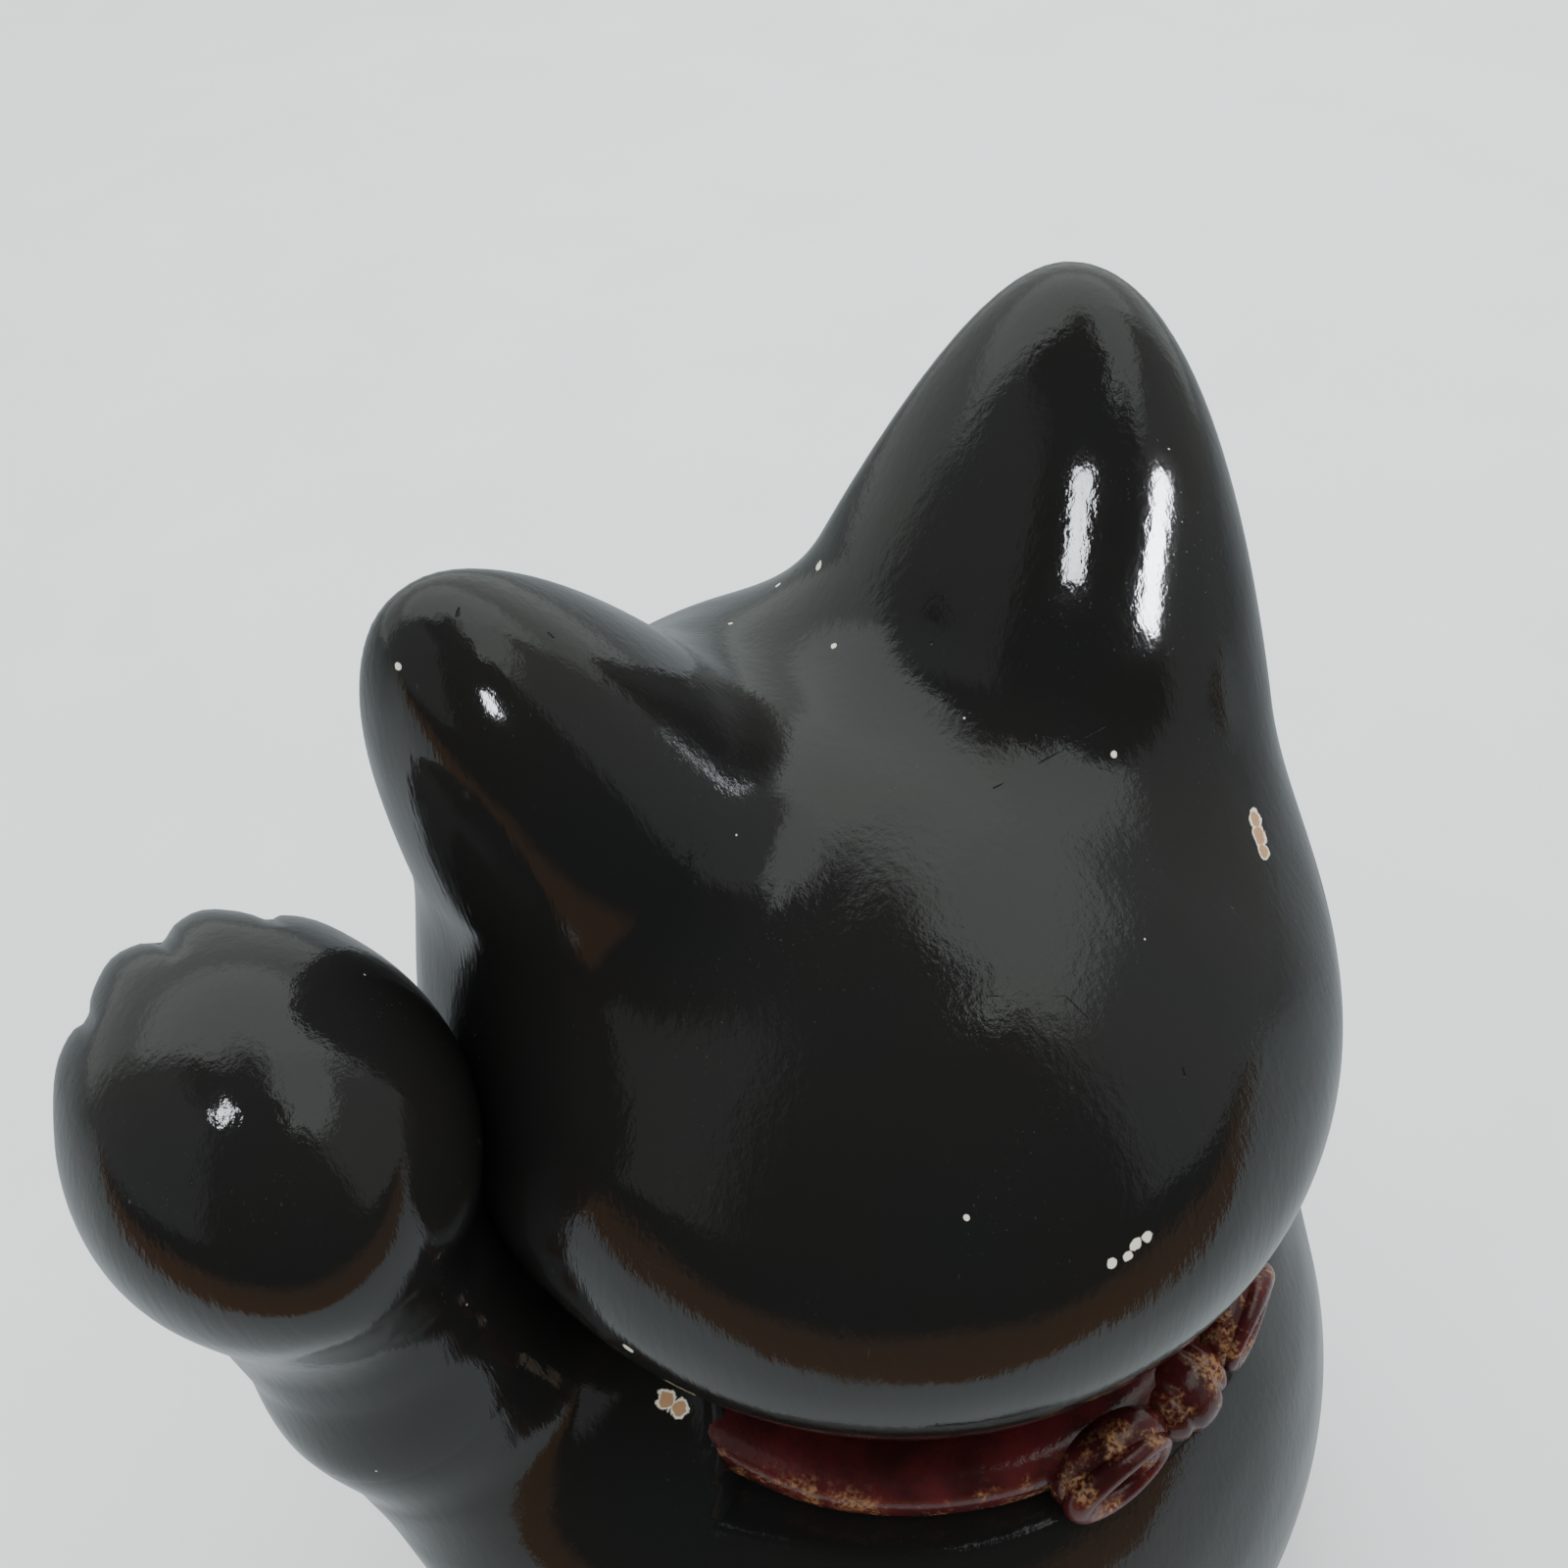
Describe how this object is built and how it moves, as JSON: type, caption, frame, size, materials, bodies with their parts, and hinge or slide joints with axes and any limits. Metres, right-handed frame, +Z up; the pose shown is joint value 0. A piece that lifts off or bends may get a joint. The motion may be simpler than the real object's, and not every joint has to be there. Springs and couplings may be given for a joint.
{
  "type": "beckoning cat figurine",
  "caption": "Seated beckoning cat figurine, hollow cast with rounded ears, one raised foreleg, and a moulded collar with bow and bell; a plug closes its base.",
  "frame": {"origin": "on the flat underside, below the middle of the head", "axes": "+Z up, the cat faces -Y, +X to the cat's left, where the raised foreleg is"},
  "size_m": [0.2147, 0.2051, 0.2798],
  "materials": {
    "black_lacquer": "gloss black lacquer over earthenware",
    "bare_clay": "unglazed, matt",
    "red_paint": "gloss red paint, edges rubbed with gold",
    "gold_paint": "satin gold paint",
    "plug_rubber": "matt moulded rubber"
  },
  "bodies": {
    "cat": {"body_casting": "black_lacquer", "base_plate": "bare_clay", "head_casting": "black_lacquer", "raised_foreleg": "black_lacquer", "standing_foreleg": "black_lacquer", "tail": "black_lacquer", "collar_band": "red_paint", "bow_knot": "red_paint", "bow_loop_left": "red_paint", "bow_loop_right": "red_paint", "bell": "gold_paint", "bell_loop": "gold_paint"},
    "plug": {"base_plug": "plug_rubber"}
  },
  "joints": [
    {"name": "plug_pull", "type": "slide", "parent": "cat", "child": "plug", "axis": [0, 0, -1], "range_m": [0, 0.014]}
  ]
}
